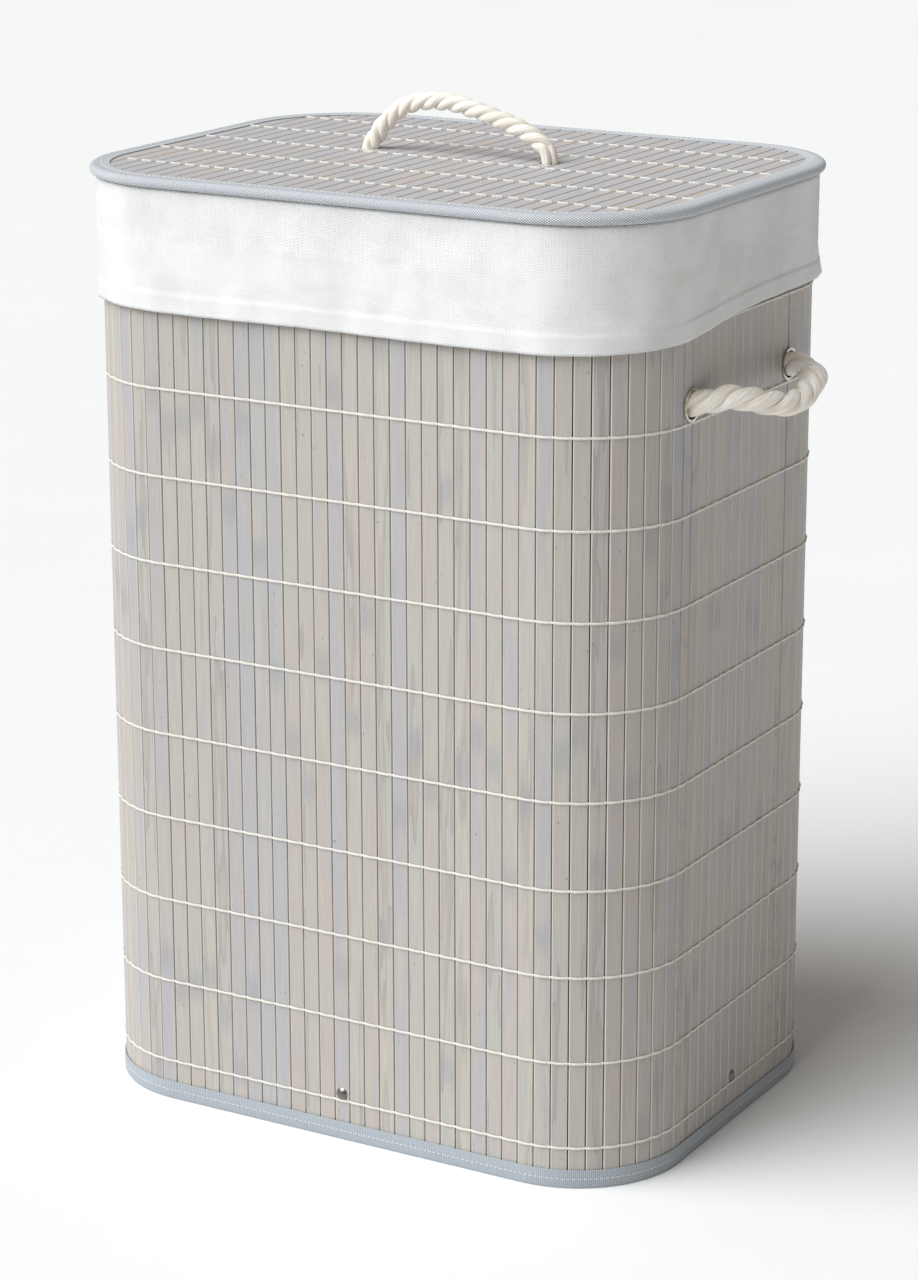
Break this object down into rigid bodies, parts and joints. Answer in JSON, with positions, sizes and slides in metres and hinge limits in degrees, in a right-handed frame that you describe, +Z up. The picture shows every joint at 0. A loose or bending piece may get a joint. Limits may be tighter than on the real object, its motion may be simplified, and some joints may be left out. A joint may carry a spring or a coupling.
{
  "type": "laundry hamper with lid",
  "caption": "Upright laundry hamper of bamboo slats on cloth, with a loose lid, a turned-down cotton liner, rope handles and a fold-up base panel.",
  "frame": {"origin": "middle of the footprint, on the floor", "axes": "+Z up; +X along the long side, towards the right rope handle; -Y is the front face"},
  "size_m": [0.494, 0.3104, 0.6401],
  "materials": {
    "bamboo": "matt grey-washed bamboo slats with a fine straight grain",
    "backing_cloth": "plain woven backing cloth",
    "thread": "cream stitching thread",
    "binding_tape": "blue-grey ribbed polyester tape with a line of stitches",
    "steel": "nickel-plated steel",
    "rope": "undyed three-strand cotton rope",
    "fibreboard": "plain hardboard",
    "liner_cotton": "white plain-weave cotton",
    "base_cloth": "plain woven cloth"
  },
  "bodies": {
    "basket": {"slats_front": "bamboo", "slats_back": "bamboo", "slats_left": "bamboo", "slats_right": "bamboo", "slats_corners": "bamboo", "backing_front": "backing_cloth", "backing_back": "backing_cloth", "backing_left": "backing_cloth", "backing_right": "backing_cloth", "backing_corners": "backing_cloth", "wall_threads": "thread", "foot_tape": "binding_tape", "rim_tape": "binding_tape", "rim_wire": "steel", "side_eyelets": "steel", "stud_caps": "steel", "wall_studs": "steel", "base_hinge_tape": "backing_cloth", "right_handle_knots": "rope", "left_handle_knots": "rope"},
    "liner": {"liner_bag": "liner_cotton", "liner_collar": "liner_cotton", "collar_hem": "liner_cotton"},
    "lid": {"lid_board": "fibreboard", "lid_lining": "liner_cotton", "lid_slats": "bamboo", "lid_threads": "thread", "lid_tape": "binding_tape", "lid_wire": "steel", "lid_handle_knots": "rope"},
    "lid_handle": {"lid_handle_rope": "rope"},
    "right_handle": {"right_handle_rope": "rope"},
    "left_handle": {"left_handle_rope": "rope"},
    "base": {"base_board": "fibreboard", "base_cover": "base_cloth", "base_underside": "base_cloth", "tab_feet": "base_cloth"},
    "front_flap": {"front_tab": "base_cloth", "front_snap": "steel"},
    "left_flap": {"left_tab": "base_cloth", "left_snap": "steel"},
    "right_flap": {"right_tab": "base_cloth", "right_snap": "steel"}
  },
  "joints": [
    {"name": "liner_lift", "type": "slide", "parent": "basket", "child": "liner", "axis": [0, 0, 1], "range_m": [0, 0.62]},
    {"name": "lid_lift", "type": "slide", "parent": "liner", "child": "lid", "axis": [0, 0, 1], "range_m": [0, 0.2]},
    {"name": "lid_handle_swing", "type": "hinge", "parent": "lid", "child": "lid_handle", "pos_m": [-0.01, 0.017, 0.608], "axis": [1, 0, 0], "range_deg": [-60, 60], "stiffness_Nm_per_rad": 0.3},
    {"name": "right_handle_swing", "type": "hinge", "parent": "basket", "child": "right_handle", "pos_m": [0.2089, -0.006, 0.484], "axis": [0, 1, 0], "range_deg": [-60, 60], "stiffness_Nm_per_rad": 0.3},
    {"name": "left_handle_swing", "type": "hinge", "parent": "basket", "child": "left_handle", "pos_m": [-0.2089, -0.006, 0.484], "axis": [0, -1, 0], "range_deg": [-60, 60], "stiffness_Nm_per_rad": 0.3},
    {"name": "base_fold", "type": "hinge", "parent": "basket", "child": "base", "pos_m": [0, 0.14175, 0.008], "axis": [-1, 0, 0], "range_deg": [0, 35], "deforming": ["liner_bag"]},
    {"name": "front_tab_fold", "type": "hinge", "parent": "base", "child": "front_flap", "pos_m": [0, -0.14015, 0.0091], "axis": [-1, 0, 0], "range_deg": [0, 85]},
    {"name": "left_tab_fold", "type": "hinge", "parent": "base", "child": "left_flap", "pos_m": [-0.19165, 0, 0.0091], "axis": [0, 1, 0], "range_deg": [0, 85]},
    {"name": "right_tab_fold", "type": "hinge", "parent": "base", "child": "right_flap", "pos_m": [0.19165, 0, 0.0091], "axis": [0, -1, 0], "range_deg": [0, 85]}
  ],
  "couplings": [
    {"joint": "front_tab_fold", "follows": "base_fold", "ratio": 2.4},
    {"joint": "left_tab_fold", "follows": "base_fold", "ratio": 2.4},
    {"joint": "right_tab_fold", "follows": "base_fold", "ratio": 2.4}
  ]
}
